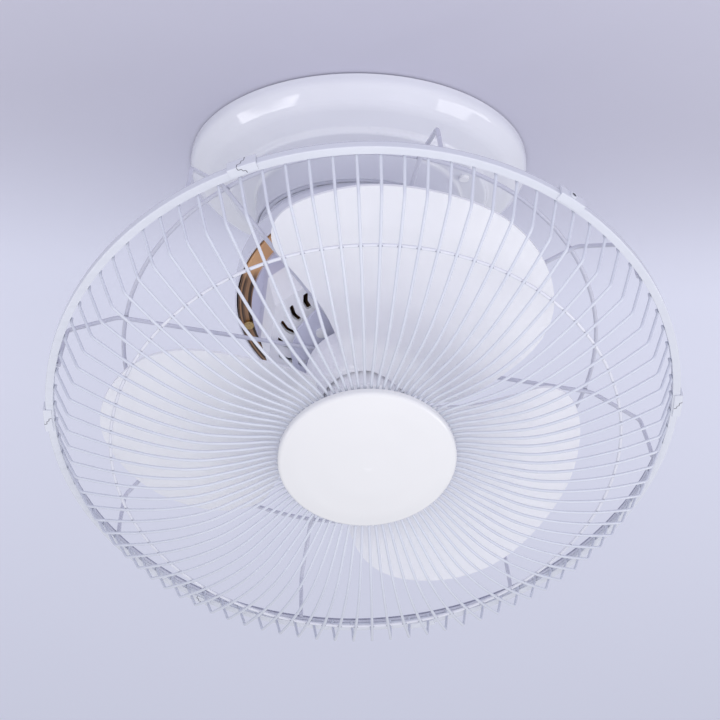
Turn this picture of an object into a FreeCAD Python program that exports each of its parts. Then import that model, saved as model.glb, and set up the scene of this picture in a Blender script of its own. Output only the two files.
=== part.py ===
import FreeCAD, Part
import math
import os
import Sketcher
from FreeCAD import Placement, Rotation, Vector

# Ceiling orbit fan: a round canopy under the ceiling, a turning crank inside its neck, and a tilted
# head with motor, three-blade fan and wire guard. Millimetres, +Z up, origin at the middle of the
# ceiling face. The head is drawn about its own axis, with the fan axis along local Z and the front
# towards local -Z, and is then tilted about the point where the fan axis meets the vertical axis.

doc = FreeCAD.newDocument("CeilingOrbitFan")
sheet = doc.addObject("Spreadsheet::Sheet", "Sizes")

SIZES = [
    # pose of the head
    ("headTilt", 27.0), ("pivotDrop", 112.0),
    # ceiling plate
    ("plateRadius", 112.0), ("plateThick", 2.5), ("mountRadius", 100.0), ("mountHoleRadius", 2.75),
    ("cableOffset", 60.0), ("cableHoleRadius", 9.0), ("grommetBoreRadius", 6.0), ("grommetLip", 2.0),
    # canopy: insets are measured inwards from its outer radius
    ("canopyRadius", 128.0), ("canopyWall", 2.2), ("canopyEdge", 8.0), ("canopyEdgeRound", 10.0),
    ("shoulderInset", 11.0), ("shoulderDrop", 19.5), ("shoulderRound", 16.0), ("stepInset", 30.0),
    ("stepDrop", 25.0), ("stepRound", 2.4), ("stepLean", 1.5), ("ledgeDrop", 29.2), ("ledgeRound", 2.2),
    ("neckGap", 5.3), ("neckDrop", 55.0), ("neckLipRound", 0.9),
    # posts, carrier and thrust washer
    ("postCircle", 86.0), ("postRadius", 5.0), ("carrierThick", 3.0), ("carrierGap", 1.3), ("carrierRound", 1.0),
    ("collarWall", 6.0), ("collarDepth", 13.0), ("washerThick", 1.2), ("washerWidth", 7.5),
    ("screwRadius", 2.0), ("screwHeadRadius", 3.6), ("screwHeadHeight", 2.4), ("screwLength", 14.0),
    ("fitClearance", 0.05), ("runClearance", 0.04),
    # orbit gear motor, terminal block and capacitor
    ("orbitMotorRadius", 25.0), ("orbitMotorHeight", 15.0), ("orbitShaftRadius", 3.5),
    ("orbitShaftLength", 18.0), ("orbitShaftSeat", 6.0), ("earReach", 34.0), ("earHole", 29.5),
    ("earWidth", 9.0), ("earThick", 1.5), ("terminalLength", 32.0), ("terminalWidth", 16.0),
    ("terminalHeight", 13.0), ("serviceCircle", 90.0), ("capacitorLength", 30.0), ("capacitorRadius", 8.0),
    # crank
    ("crankRadius", 64.0), ("crankWall", 5.0), ("crankPlate", 4.0), ("crankFlange", 7.5),
    ("crankHubRadius", 11.0), ("crankHubDepth", 15.0), ("bossRadius", 18.0), ("padRadius", 22.0),
    ("bossStart", 75.5), ("bossEnd", 100.0), ("bearingOuter", 14.0), ("bearingWidth", 8.0),
    ("bossShoulder", 11.0),
    # head stem
    ("stemRadius", 6.0), ("stemFlangeRadius", 26.0), ("stemFlangeThick", 5.0), ("stemFlangeRound", 1.0),
    ("stemCollarRadius", 9.0), ("stemFillet", 2.0), ("stemTipRound", 0.8), ("stemNutRadius", 10.0),
    ("stemNutHeight", 6.5), ("stemScrewCircle", 17.0), ("spacerRadius", 4.5),
    # motor bell
    ("bellGap", 1.0), ("bellWall", 1.4), ("bellMouth", 6.0), ("bellLipRound", 0.5), ("bellStraight", 17.0),
    ("bellShoulderRound", 24.0), ("bellWaistInset", 6.4), ("bellWaistHeight", 38.0), ("bellWaistRound", 16.0),
    ("bellCrown", 58.0), ("bellCrownHeight", 57.0), ("bellCrownRound", 16.0), ("bellSeat", 4.0), ("bellTop", 60.0),
    # stator, windings and shields
    ("coreRadius", 88.0), ("coreBore", 47.0), ("coreFront", 8.0), ("coreBack", 8.0), ("coreRound", 0.6),
    ("slotDepth", 17.0), ("slotWidth", 5.5), ("windingInner", 51.0), ("windingOuter", 63.0),
    ("windingHeight", 14.0), ("boltCircle", 82.0), ("frontShieldRim", 78.0), ("frontShieldFlange", 4.0),
    ("frontShieldFace", 53.0), ("frontShieldFaceRadius", 63.7), ("skirtBase", 77.0), ("skirtTop", 69.0),
    ("skirtWall", 5.4), ("shieldWall", 3.0), ("shieldHubRadius", 24.0), ("shieldHubFront", 62.0),
    ("shieldHubRound", 1.5), ("bearingSeatWall", 5.0), ("motorBearingOuter", 15.0), ("motorBearingWidth", 9.0),
    ("frontBearingFront", 58.0), ("shieldLip", 8.0), ("rearShieldRim", 75.0), ("rearShieldFace", 39.0),
    ("rearShieldWeb", 4.0), ("rearShieldRound", 3.0), ("rearShieldHubRadius", 19.0),
    ("ventInner", 47.0), ("ventOuter", 59.5), ("ventWidth", 4.2), ("ventSweep", 7.0), ("ventBow", 5.6),
    ("ventEndRound", 0.8), ("ventBendRound", 4.0),
    # rear guard
    ("guardPlateRadius", 50.0), ("guardPlateThick", 3.0), ("guardPlateFront", 66.6), ("guardPlatePlay", 0.2),
    ("guardScrewCircle", 35.0), ("guardHoleCircle", 42.0), ("guardHoleRadius", 3.2), ("bossPadRadius", 5.0),
    ("rearWireRadius", 1.5), ("rearWireStart", 29.0), ("rearRingRadius", 167.4), ("rearRingWire", 1.5),
    ("rearKneeInset", 2.4), ("rearKneeAhead", 91.0), ("rearCornerRun", 5.0), ("rearBend", 12.0),
    ("rearKneeBend", 7.0), ("rearWireRise", 10.0), ("weldOverlap", 0.1),
    # rim
    ("rimAhead", 130.0), ("rimRingRadius", 210.7), ("rimRingWire", 1.4), ("rimRingGap", 0.2),
    ("bandSidePlay", 0.3), ("bandWall", 2.6), ("bandLip", 0.8), ("bandLipReach", 1.0), ("bandPlay", 0.15),
    ("bandFrontRound", 0.8), ("bandBackRound", 2.2), ("clipWall", 1.7), ("clipAngle", 5.0), ("clipLip", 4.0),
    ("clipRound", 0.7), ("rimScrewRadius", 1.5), ("rimScrewHead", 2.6), ("rimScrewHeadHeight", 1.0),
    # front guard: the knee is measured inwards from the wire's outer end
    ("frontWireRadius", 1.0), ("frontKneeInset", 10.9), ("frontKneeDepth", 29.5), ("frontKneeBend", 6.0),
    ("midRingRadius", 168.8), ("midRingDepth", 42.5), ("midRingWire", 1.1), ("midRingSink", 0.4),
    ("outerCrownRadius", 138.0), ("outerCrownDepth", 51.5), ("crownRadius", 112.0), ("crownDepth", 54.5),
    ("dipRadius", 82.0), ("dipDepth", 48.0), ("footRadius", 64.0), ("footDepth", 42.0), ("innerWireEnd", 2.5),
    ("innerDepth", 41.5), ("innerRingRadius", 47.0), ("innerRingWire", 1.25),
    # badge
    ("badgeRadius", 59.3), ("badgeEdgeBack", 44.8), ("badgeEdgeFront", 50.0), ("badgeEdgeRound", 3.0),
    ("badgeShoulderInset", 11.9), ("badgeShoulderRise", 2.6), ("badgeShoulderRound", 60.0),
    ("badgeFlatRadius", 24.9), ("badgeFlatDrop", 0.6), ("badgeFlatRound", 90.0), ("badgeCrown", 55.5),
    ("badgeWall", 2.4), ("badgeBossRadius", 14.0), ("clampOverlap", 2.0), ("clampThick", 2.0),
    ("badgeScrewCircle", 9.0),
    # rotor and fan
    ("shaftRadius", 5.0), ("shaftFront", 128.0), ("shaftBack", 41.0), ("airGap", 0.5), ("hubBackRadius", 39.0),
    ("hubBack", 84.0), ("hubStraight", 12.0), ("hubFrontRadius", 30.5), ("hubFront", 120.0), ("hubWall", 3.0),
    ("hubRimRound", 1.0), ("hubDomeRound", 16.0), ("hubFrontRound", 5.0), ("hubBossRadius", 11.0),
    ("hubRecess", 4.0), ("nutRadius", 27.5), ("nutHeight", 16.0), ("nutBackRound", 0.8), ("nutFrontRound", 3.0),
    ("ribDepth", 1.0), ("ribWidth", 2.2), ("pinRadius", 1.75), ("pinLength", 20.0), ("pinBack", 4.5),
    ("bladeTip", 180.0), ("bladeLead", 101.0), ("bladeTrail", 85.5), ("bladeThick", 2.2), ("bladePlane", 120.0),
    ("tipPitch", 0.2), ("rootPitch", 0.34), ("bladeCamber", 4.0),
]

MOUNT_HOLES = 4
POSTS = 3
FRONT_WIRES = 90
REAR_WIRES = 8
VENTS = 24
CORE_SLOTS = 24
MOTOR_BOLTS = 4
PLATE_SIDES = 16
SKIRT_SIDES = 8
BLADES = 3
NUT_RIBS = 28

# directions round the fan axis, in degrees from the upper side of the head in the rest pose
FRONT_WIRE_ANGLE = 1.4
REAR_WIRE_ANGLE = 8.0
CLIP_ANGLES = [31.5, 84.0, 163.0, -150.0, -94.2, -25.5]
BLADE_ANGLE = 15.0
GUARD_SCREW_ANGLE = -58.0
GUARD_HOLE_ANGLE = -104.5
MOTOR_BOLT_ANGLE = -106.0
SKIRT_CORNER_ANGLE = -65.0

# blade outline: share of the tip radius, share of the leading (negative) or trailing width
BLADE_OUTLINE = [
    (0.150, -0.215), (0.240, -0.345), (0.330, -0.495), (0.395, -0.655), (0.445, -0.800), (0.490, -0.925),
    (0.545, -0.985), (0.600, -1.000), (0.700, -0.945), (0.800, -0.805), (0.888, -0.615), (0.950, -0.390),
    (0.987, -0.150), (1.000, 0.085), (0.984, 0.350), (0.925, 0.620), (0.840, 0.820), (0.735, 0.955), (0.610, 1.000), (0.500, 0.955),
    (0.390, 0.855), (0.285, 0.735), (0.200, 0.600), (0.150, 0.450)]

for row, (alias, number) in enumerate(SIZES, start=1):
    sheet.set(f"A{row}", alias)
    sheet.set(f"B{row}", str(number))
    sheet.setAlias(f"B{row}", alias)
doc.recompute()


class Length:
    # a number together with the sheet expression that drives it
    def __init__(self, value, text):
        self.value = value
        self.text = text

    def join(self, other, sign, value):
        other = toLength(other)
        return Length(value(self.value, other.value), f"({self.text} {sign} {other.text})")

    def __add__(self, other):
        return self.join(other, "+", lambda a, b: a + b)

    def __sub__(self, other):
        return self.join(other, "-", lambda a, b: a - b)

    def __mul__(self, other):
        return self.join(other, "*", lambda a, b: a * b)

    def __truediv__(self, other):
        return self.join(other, "/", lambda a, b: a / b)

    def __radd__(self, other):
        return toLength(other) + self

    def __rsub__(self, other):
        return toLength(other) - self

    def __rmul__(self, other):
        return self * other

    def __neg__(self):
        return Length(-self.value, f"(-{self.text})")


def toLength(item):
    if isinstance(item, Length):
        return item
    return Length(float(item), f"{float(item):.9f}")


class Sizes:
    pass


d = Sizes()
for alias, number in SIZES:
    setattr(d, alias, Length(float(sheet.get(alias)), f"Sizes.{alias}"))

origin = toLength(0)
tilted = Placement(Vector(0, 0, -d.pivotDrop.value), Rotation(Vector(1, 0, 0), -d.headTilt.value))
nodes = []


def finish(label, item, inHead=False):
    # a single primitive keeps its own place inside a group, which then takes the tilt of the head
    if inHead and item.TypeId in ("Part::Cylinder", "Part::Torus"):
        item = group(f"{item.Name}Placed", [item])
    item.Label = label
    if inHead:
        item.Placement = tilted
    nodes.append((label, item))
    return item


def bindPlace(item, x, y, z):
    for letter, amount in (("x", x), ("y", y), ("z", z)):
        amount = toLength(amount)
        if amount.text != origin.text:
            item.setExpression(f"Placement.Base.{letter}", amount.text)


def cylinder(name, radius, bottom, height, x=0, y=0):
    item = doc.addObject("Part::Cylinder", name)
    item.setExpression("Radius", toLength(radius).text)
    item.setExpression("Height", toLength(height).text)
    bindPlace(item, x, y, bottom)
    return item


def box(name, length, width, height, x, y, z):
    item = doc.addObject("Part::Box", name)
    for prop, amount in (("Length", length), ("Width", width), ("Height", height)):
        item.setExpression(prop, toLength(amount).text)
    bindPlace(item, x, y, z)
    return item


def ring(name, radius, wire, z):
    item = doc.addObject("Part::Torus", name)
    item.setExpression("Radius1", toLength(radius).text)
    item.setExpression("Radius2", toLength(wire).text)
    bindPlace(item, 0, 0, z)
    return item


def fuse(name, items):
    item = doc.addObject("Part::MultiFuse", name)
    item.Shapes = items
    return item


def group(name, items):
    item = doc.addObject("Part::Compound", name)
    item.Links = items
    return item


def cut(name, base, tool):
    item = doc.addObject("Part::Cut", name)
    item.Base = base
    item.Tool = tool
    return item


def around(radius, angle):
    # point on a circle of the head, with the angle measured from its upper side, clockwise from the front
    turn = math.radians(angle)
    return radius * math.sin(turn), radius * -math.cos(turn)


def pointConstraints(sketch, geometry, corner, x, y):
    bound = []
    for kind, amount, axis in (("DistanceX", x, -2), ("DistanceY", y, -1)):
        if amount.text == origin.text:
            sketch.addConstraint(Sketcher.Constraint("PointOnObject", geometry, corner, axis))
        elif amount.value < 0:
            number = sketch.addConstraint(Sketcher.Constraint(kind, geometry, corner, -1, 1, -amount.value))
            bound.append((number, (-amount).text))
        else:
            number = sketch.addConstraint(Sketcher.Constraint(kind, -1, 1, geometry, corner, amount.value))
            bound.append((number, amount.text))
    for number, text in bound:
        sketch.setExpression(f"Constraints[{number}]", text)


def drawOutline(sketch, corners):
    # closed outline of straight sides; a corner may carry a third value, the radius that rounds it
    corners = [tuple(toLength(amount) for amount in corner) for corner in corners]
    count = len(corners)
    points = [Vector(corner[0].value, corner[1].value, 0) for corner in corners]
    enter, leave, arcs = {}, {}, {}
    for i, corner in enumerate(corners):
        enter[i] = leave[i] = points[i]
        if len(corner) == 3:
            back = (points[i - 1] - points[i]).normalize()
            ahead = (points[(i + 1) % count] - points[i]).normalize()
            half = back.getAngle(ahead) / 2
            reach = corner[2].value / math.tan(half)
            enter[i] = points[i] + back * reach
            leave[i] = points[i] + ahead * reach
            middle = points[i] + (back + ahead).normalize() * (corner[2].value / math.sin(half))
            first = math.atan2(enter[i].y - middle.y, enter[i].x - middle.x)
            last = math.atan2(leave[i].y - middle.y, leave[i].x - middle.x)
            leftTurn = (ahead.x * back.y - ahead.y * back.x) > 0
            circle = Part.Circle(middle, Vector(0, 0, 1), corner[2].value)
            if leftTurn:
                arcs[i] = (Part.ArcOfCircle(circle, first, last), 1, 2)
            else:
                arcs[i] = (Part.ArcOfCircle(circle, last, first), 2, 1)
    sides = [sketch.addGeometry(Part.LineSegment(leave[i], enter[(i + 1) % count]), False) for i in range(count)]
    for i, corner in enumerate(corners):
        before, after = sides[i - 1], sides[i]
        if i not in arcs:
            sketch.addConstraint(Sketcher.Constraint("Coincident", before, 2, after, 1))
            pointConstraints(sketch, after, 1, corner[0], corner[1])
            continue
        curve, near, far = arcs[i]
        arc = sketch.addGeometry(curve, False)
        apex = sketch.addGeometry(Part.Point(points[i]), True)
        sketch.addConstraint(Sketcher.Constraint("Tangent", before, 2, arc, near))
        sketch.addConstraint(Sketcher.Constraint("Tangent", arc, far, after, 1))
        sketch.addConstraint(Sketcher.Constraint("PointOnObject", apex, 1, before))
        sketch.addConstraint(Sketcher.Constraint("PointOnObject", apex, 1, after))
        number = sketch.addConstraint(Sketcher.Constraint("Radius", arc, corner[2].value))
        sketch.setExpression(f"Constraints[{number}]", corner[2].text)
        pointConstraints(sketch, apex, 1, corner[0], corner[1])


def sketchOn(body, role, name):
    plane = next(item for item in body.Origin.OriginFeatures if item.Role == role)
    sketch = body.newObject("Sketcher::SketchObject", name)
    sketch.AttachmentSupport = [(plane, "")]
    sketch.MapMode = "FlatFace"
    return sketch


def turned(name, corners):
    # body of revolution about Z from an outline of radii and heights
    body = doc.addObject("PartDesign::Body", name)
    sketch = sketchOn(body, "XZ_Plane", f"{name}Profile")
    drawOutline(sketch, corners)
    turn = body.newObject("PartDesign::Revolution", f"{name}Turn")
    turn.Profile = sketch
    turn.ReferenceAxis = (sketch, ["V_Axis"])
    turn.Angle = 360
    body.Tip = turn
    return body


def piercedRing(body, name, corners, copies):
    # an opening through the body along Z, repeated round its axis
    sketch = sketchOn(body, "XY_Plane", f"{name}Outline")
    drawOutline(sketch, corners)
    pocket = body.newObject("PartDesign::Pocket", f"{name}Pocket")
    pocket.Profile = sketch
    pocket.Type = "ThroughAll"
    pocket.Midplane = True
    pattern = body.newObject("PartDesign::PolarPattern", f"{name}Pattern")
    pattern.Originals = [pocket]
    pattern.Axis = (sketch, ["N_Axis"])
    pattern.Angle = 360
    pattern.Occurrences = copies
    body.Tip = pattern
    return body


def copiesAround(name, copies, radius, start, maker):
    # one primitive for each place on a circle of the head
    items = []
    for i in range(copies):
        x, y = around(radius, start + 360 * i / copies)
        items.append(maker(f"{name}{i + 1}", x, y))
    return items


def bentPath(points, ends):
    # straight runs joined by tangent arcs, each as large as its two runs allow or as given
    edges = []
    start = points[0]
    for i in range(1, len(points) - 1):
        back = points[i - 1] - points[i]
        ahead = points[i + 1] - points[i]
        half = (math.pi - back.getAngle(ahead)) / 2
        run = 0.45 * min(back.Length, ahead.Length)
        radius = run / math.tan(half) if ends[i] is None else ends[i].value
        reach = radius * math.tan(half)
        back.normalize()
        ahead.normalize()
        enter = points[i] + back * reach
        leave = points[i] + ahead * reach
        inward = (back + ahead).normalize()
        middle = points[i] + inward * (radius / math.cos(half)) - inward * radius
        edges.append(Part.LineSegment(start, enter).toShape())
        edges.append(Part.Arc(enter, middle, leave).toShape())
        start = leave
    edges.append(Part.LineSegment(start, points[-1]).toShape())
    return Part.Wire(edges)


def sweptWire(path, radius):
    first = path.Edges[0]
    direction = first.tangentAt(first.FirstParameter)
    section = Part.Wire(Part.makeCircle(radius, first.Vertexes[0].Point, direction))
    return path.makePipeShell([section], True, False)


def wireCage(name, outline, bends, radius, copies, start):
    # one bent wire in an axial plane of the head, repeated round the fan axis
    path = bentPath([Vector(0, -r.value, z.value) for r, z in outline], bends)
    single = sweptWire(path, radius.value)
    print(name, "volume ratio", round(single.Volume / (math.pi * radius.value ** 2 * path.Length), 4))
    shapes = []
    for i in range(copies):
        wire = single.copy()
        wire.rotate(Vector(0, 0, 0), Vector(0, 0, 1), start + 360.0 * i / copies)
        shapes.append(wire)
    item = doc.addObject("Part::Feature", name)
    item.Shape = Part.makeCompound(shapes)
    return item


def screws(name, copies, circle, start, seat, length, headUp, head=None, shank=None):
    # round-head screws parallel to Z, with the head resting on the seat height
    head = d.screwHeadRadius if head is None else head
    shank = d.screwRadius if shank is None else shank

    def one(label, x, y):
        if headUp:
            top = cylinder(f"{label}Head", head, seat, d.screwHeadHeight, x, y)
            stem = cylinder(f"{label}Shank", shank, seat - length, length, x, y)
        else:
            top = cylinder(f"{label}Head", head, seat - d.screwHeadHeight, d.screwHeadHeight, x, y)
            stem = cylinder(f"{label}Shank", shank, seat, length, x, y)
        return fuse(label, [top, stem])

    return group(f"{name}Group", copiesAround(name, copies, circle, start, one))


# ceiling plate with its fixing holes and cable entry
plateDisc = cylinder("PlateDisc", d.plateRadius, -d.plateThick, d.plateThick)
plateHoles = []
for i in range(MOUNT_HOLES):
    turn = math.radians(45 + 360 * i / MOUNT_HOLES)
    plateHoles.append(cylinder(f"MountHole{i + 1}", d.mountHoleRadius, -2 * d.plateThick, 3 * d.plateThick,
                               d.mountRadius * math.cos(turn), d.mountRadius * math.sin(turn)))
plateHoles.append(cylinder("CableHole", d.cableHoleRadius, -2 * d.plateThick, 3 * d.plateThick, -d.cableOffset))
finish("ceiling_plate", cut("CeilingPlate", plateDisc, group("PlateHoles", plateHoles)))

# rubber grommet in the cable entry: a lip below the plate and a sleeve through it
grommet = fuse("GrommetBlank", [
    cylinder("GrommetSleeve", d.cableHoleRadius - d.fitClearance, -d.plateThick, d.plateThick, -d.cableOffset),
    cylinder("GrommetLip", d.cableHoleRadius + d.grommetLip, -d.plateThick - d.grommetLip, d.grommetLip,
             -d.cableOffset)])
grommetBore = cylinder("GrommetBore", d.grommetBoreRadius, -d.plateThick - 2 * d.grommetLip,
                       2 * d.plateThick + 4 * d.grommetLip, -d.cableOffset)
finish("cable_grommet", cut("CableGrommet", grommet, grommetBore))

# canopy: domed shell with a stepped ledge and a straight neck
ledgeInside = d.ledgeDrop - d.canopyWall
shoulderRadius = d.canopyRadius - d.shoulderInset
stepRadius = d.canopyRadius - d.stepInset
ledgeRadius = stepRadius - d.stepLean
neckInner = d.crankRadius + d.collarWall + d.neckGap
neckRadius = neckInner + d.canopyWall
canopyBody = turned("CanopyShell", [
    (d.canopyRadius, origin), (d.canopyRadius, -d.canopyEdge, d.canopyEdgeRound),
    (shoulderRadius, -d.shoulderDrop, d.shoulderRound), (stepRadius, -d.stepDrop, d.stepRound),
    (ledgeRadius, -d.ledgeDrop, d.ledgeRound), (neckRadius, -d.ledgeDrop, d.ledgeRound),
    (neckRadius, -d.neckDrop, d.neckLipRound), (neckInner, -d.neckDrop, d.neckLipRound),
    (neckInner, -ledgeInside), (ledgeRadius - d.canopyWall, -ledgeInside),
    (stepRadius - d.canopyWall, d.canopyWall - d.stepDrop),
    (shoulderRadius - d.canopyWall, d.canopyWall - d.shoulderDrop, d.shoulderRound - 2 * d.canopyWall),
    (d.canopyRadius - d.canopyWall, -d.canopyEdge, d.canopyEdgeRound - d.canopyWall),
    (d.canopyRadius - d.canopyWall, origin)])
canopyHoles = copiesAround("CanopyHole", POSTS, d.postCircle, 180,
                           lambda label, x, y: cylinder(label, d.screwRadius + d.fitClearance,
                                                        -d.ledgeDrop - d.canopyWall, 3 * d.canopyWall, x, y))
finish("canopy", cut("Canopy", canopyBody, group("CanopyHoles", canopyHoles)))

# three posts carry the bearing carrier, which the canopy's ledge is screwed up against
carrierTop = ledgeInside - d.carrierThick
carrierRadius = ledgeRadius - d.canopyWall - d.carrierGap
postBlanks = copiesAround("PostBlank", POSTS, d.postCircle, 180,
                          lambda label, x, y: cylinder(label, d.postRadius, -carrierTop,
                                                       carrierTop - d.plateThick, x, y))
postHoles = copiesAround("PostHole", POSTS, d.postCircle, 180,
                         lambda label, x, y: cylinder(label, d.screwRadius + d.fitClearance, -carrierTop,
                                                      d.screwLength, x, y))
posts = [cut(f"Post{i + 1}", blank, hole) for i, (blank, hole) in enumerate(zip(postBlanks, postHoles))]
finish("carrier_posts", group("CarrierPosts", posts))

carrierBody = turned("CarrierRing", [
    (d.crankRadius, -carrierTop), (carrierRadius, -carrierTop), (carrierRadius, -ledgeInside),
    (d.crankRadius + d.collarWall, -ledgeInside, d.carrierRound),
    (d.crankRadius + d.collarWall, -ledgeInside - d.collarDepth),
    (d.crankRadius, -ledgeInside - d.collarDepth)])
carrierHoles = copiesAround("CarrierHole", POSTS, d.postCircle, 180,
                            lambda label, x, y: cylinder(label, d.screwRadius + d.fitClearance,
                                                         -ledgeInside - d.carrierThick, 3 * d.carrierThick, x, y))
finish("bearing_carrier", cut("BearingCarrier", carrierBody, group("CarrierHoles", carrierHoles)))
finish("canopy_screws", screws("CanopyScrew", POSTS, d.postCircle, 180, -d.ledgeDrop, d.screwLength, False))

washerTop = d.washerThick - carrierTop
finish("thrust_washer", cut("ThrustWasher",
                            cylinder("WasherDisc", d.crankRadius + d.washerWidth, -carrierTop, d.washerThick),
                            cylinder("WasherHole", d.crankRadius + d.fitClearance, -carrierTop, d.washerThick)))

# orbit gear motor under the plate, with two ears and their screws
motorLow = d.plateThick + d.orbitMotorHeight
motorCan = cylinder("MotorCan", d.orbitMotorRadius, -motorLow, d.orbitMotorHeight)
motorEars = box("MotorEars", 2 * d.earReach, d.earWidth, d.earThick, -d.earReach, -d.earWidth / 2,
                -d.plateThick - d.earThick)
shaftSocket = cylinder("ShaftSocket", d.orbitShaftRadius + d.runClearance, -motorLow, d.orbitMotorHeight / 2)
earHoles = [cylinder(f"EarHole{side:+d}".replace("+", "R").replace("-", "L"), d.screwRadius + d.fitClearance,
                     -d.plateThick - 2 * d.earThick, 3 * d.earThick, side * d.earHole) for side in (-1, 1)]
orbitBlank = fuse("OrbitMotorBlank", [motorCan, motorEars])
finish("orbit_motor", cut("OrbitMotor", orbitBlank, group("OrbitMotorHoles", [shaftSocket] + earHoles)))
finish("orbit_motor_screws", group("OrbitMotorScrews", [
    cylinder(f"EarScrew{i + 1}", d.screwHeadRadius, -d.plateThick - d.earThick - d.screwHeadHeight,
             d.screwHeadHeight, side * d.earHole) for i, side in enumerate((-1, 1))]))

# terminal block and run capacitor, both against the plate outside the crank's sweep
blockX, blockY = d.serviceCircle * math.cos(math.radians(30)), d.serviceCircle * math.sin(math.radians(30))
terminalBody = box("TerminalBody", d.terminalWidth, d.terminalLength, d.terminalHeight,
                   blockX - d.terminalWidth / 2, blockY - d.terminalLength / 2, -d.plateThick - d.terminalHeight)
terminalWells = [cylinder(f"TerminalWell{i + 1}", d.screwRadius, -d.plateThick - d.terminalHeight,
                          d.terminalHeight / 2, blockX, blockY + (i - 1) * d.terminalLength / 3) for i in range(3)]
finish("terminal_block", cut("TerminalBlock", terminalBody, group("TerminalWells", terminalWells)))
capX = d.serviceCircle * math.cos(math.radians(150))
capY = d.serviceCircle * math.sin(math.radians(150))
finish("run_capacitor", box("RunCapacitor", 2 * d.capacitorRadius, d.capacitorLength, 2 * d.capacitorRadius,
                            capX - d.capacitorRadius, capY - d.capacitorLength / 2,
                            -d.plateThick - 2 * d.capacitorRadius))

# crank: a flanged drum hung in the carrier, with a slanted bearing boss on the fan axis
flangeLow = washerTop + d.runClearance
crankTop = flangeLow + d.crankPlate
drumRadius = d.crankRadius - d.runClearance
drumLow = -ledgeInside - d.collarDepth
crankBody = turned("CrankDrum", [
    (d.orbitShaftRadius + d.fitClearance, crankTop), (d.crankRadius + d.crankFlange, crankTop),
    (d.crankRadius + d.crankFlange, flangeLow), (drumRadius, flangeLow), (drumRadius, drumLow),
    (drumRadius - d.crankWall, drumLow), (drumRadius - d.crankWall, flangeLow), (d.crankHubRadius, flangeLow),
    (d.crankHubRadius, crankTop - d.crankHubDepth),
    (d.orbitShaftRadius + d.fitClearance, crankTop - d.crankHubDepth)])


def slanted(name, radius, start, length):
    item = doc.addObject("Part::Cylinder", name)
    item.setExpression("Radius", toLength(radius).text)
    item.setExpression("Height", toLength(length).text)
    item.Placement = tilted * Placement(Vector(0, 0, toLength(start).value), Rotation())
    return item


bossMiddle = (d.bossStart + d.bossEnd) / 2
padY = math.sin(math.radians(d.headTilt.value)) * bossMiddle
pad = cylinder("CrankPad", d.padRadius, drumLow, crankTop - drumLow, 0, padY)
boss = slanted("CrankBoss", d.bossRadius, d.bossStart, d.bossEnd - d.bossStart)
crankBlank = fuse("CrankBlank", [crankBody, pad, boss])
upperSeat = d.bossEnd - d.bearingWidth
lowerSeat = d.bossStart + d.bearingWidth
crankBores = [
    slanted("LowerSeat", d.bearingOuter, d.bossStart - d.bossRadius, d.bearingWidth + d.bossRadius),
    slanted("SeatShoulder", d.bossShoulder, d.bossStart, d.bossEnd - d.bossStart),
    slanted("UpperSeat", d.bearingOuter, upperSeat, d.bearingWidth),
    slanted("NutRoom", d.bearingOuter + d.crankPlate / 2, d.bossEnd, d.bossEnd)]
crankSpace = cylinder("BossTrim", d.padRadius + d.bossRadius, drumLow - d.bossEnd, d.bossEnd, 0, padY)
finish("orbit_crank", cut("OrbitCrank", crankBlank, group("CrankCuts", crankBores + [crankSpace])))
finish("orbit_shaft", cylinder("OrbitShaft", d.orbitShaftRadius, -motorLow - d.orbitShaftLength + d.orbitShaftSeat,
                               d.orbitShaftLength))


def bearing(name, bore, outer, low, width):
    return cut(name, cylinder(f"{name}Race", outer, low, width), cylinder(f"{name}Bore", bore, low, width))


stemBore = d.stemRadius + d.runClearance
finish("stem_bearing_lower", bearing("StemBearingLower", stemBore, d.bearingOuter - d.fitClearance,
                                     lowerSeat - d.bearingWidth, d.bearingWidth), True)
finish("stem_bearing_upper", bearing("StemBearingUpper", stemBore, d.bearingOuter - d.fitClearance,
                                     upperSeat, d.bearingWidth), True)

# head stem: flange on the bell, collar under the lower bearing, spindle and nut
stemTop = d.bossEnd + d.stemNutHeight
flangeTop = d.bellTop + d.stemFlangeThick
collarTop = d.bossStart - d.runClearance
stemBody = turned("StemBody", [
    (origin, d.bellTop), (d.stemFlangeRadius, d.bellTop), (d.stemFlangeRadius, flangeTop, d.stemFlangeRound),
    (d.stemCollarRadius, flangeTop, d.stemFillet), (d.stemCollarRadius, collarTop), (d.stemRadius, collarTop),
    (d.stemRadius, stemTop, d.stemTipRound), (origin, stemTop)])
stemHoles = copiesAround("StemHole", MOTOR_BOLTS, d.stemScrewCircle, 45,
                         lambda label, x, y: cylinder(label, d.screwRadius + d.fitClearance, d.bellTop,
                                                      d.stemFlangeThick, x, y))
finish("head_stem", cut("HeadStem", stemBody, group("StemHoles", stemHoles)), True)
stemNut = doc.addObject("Part::Prism", "StemNutHex")
stemNut.Polygon = 6
stemNut.setExpression("Circumradius", d.stemNutRadius.text)
stemNut.setExpression("Height", (d.stemNutHeight - d.runClearance).text)
stemNut.setExpression("Placement.Base.z", (d.bossEnd + d.runClearance).text)
finish("stem_nut", cut("StemNut", stemNut, cylinder("StemNutBore", d.stemRadius + d.fitClearance, d.bossEnd,
                                                    2 * d.stemNutHeight)), True)

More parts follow.
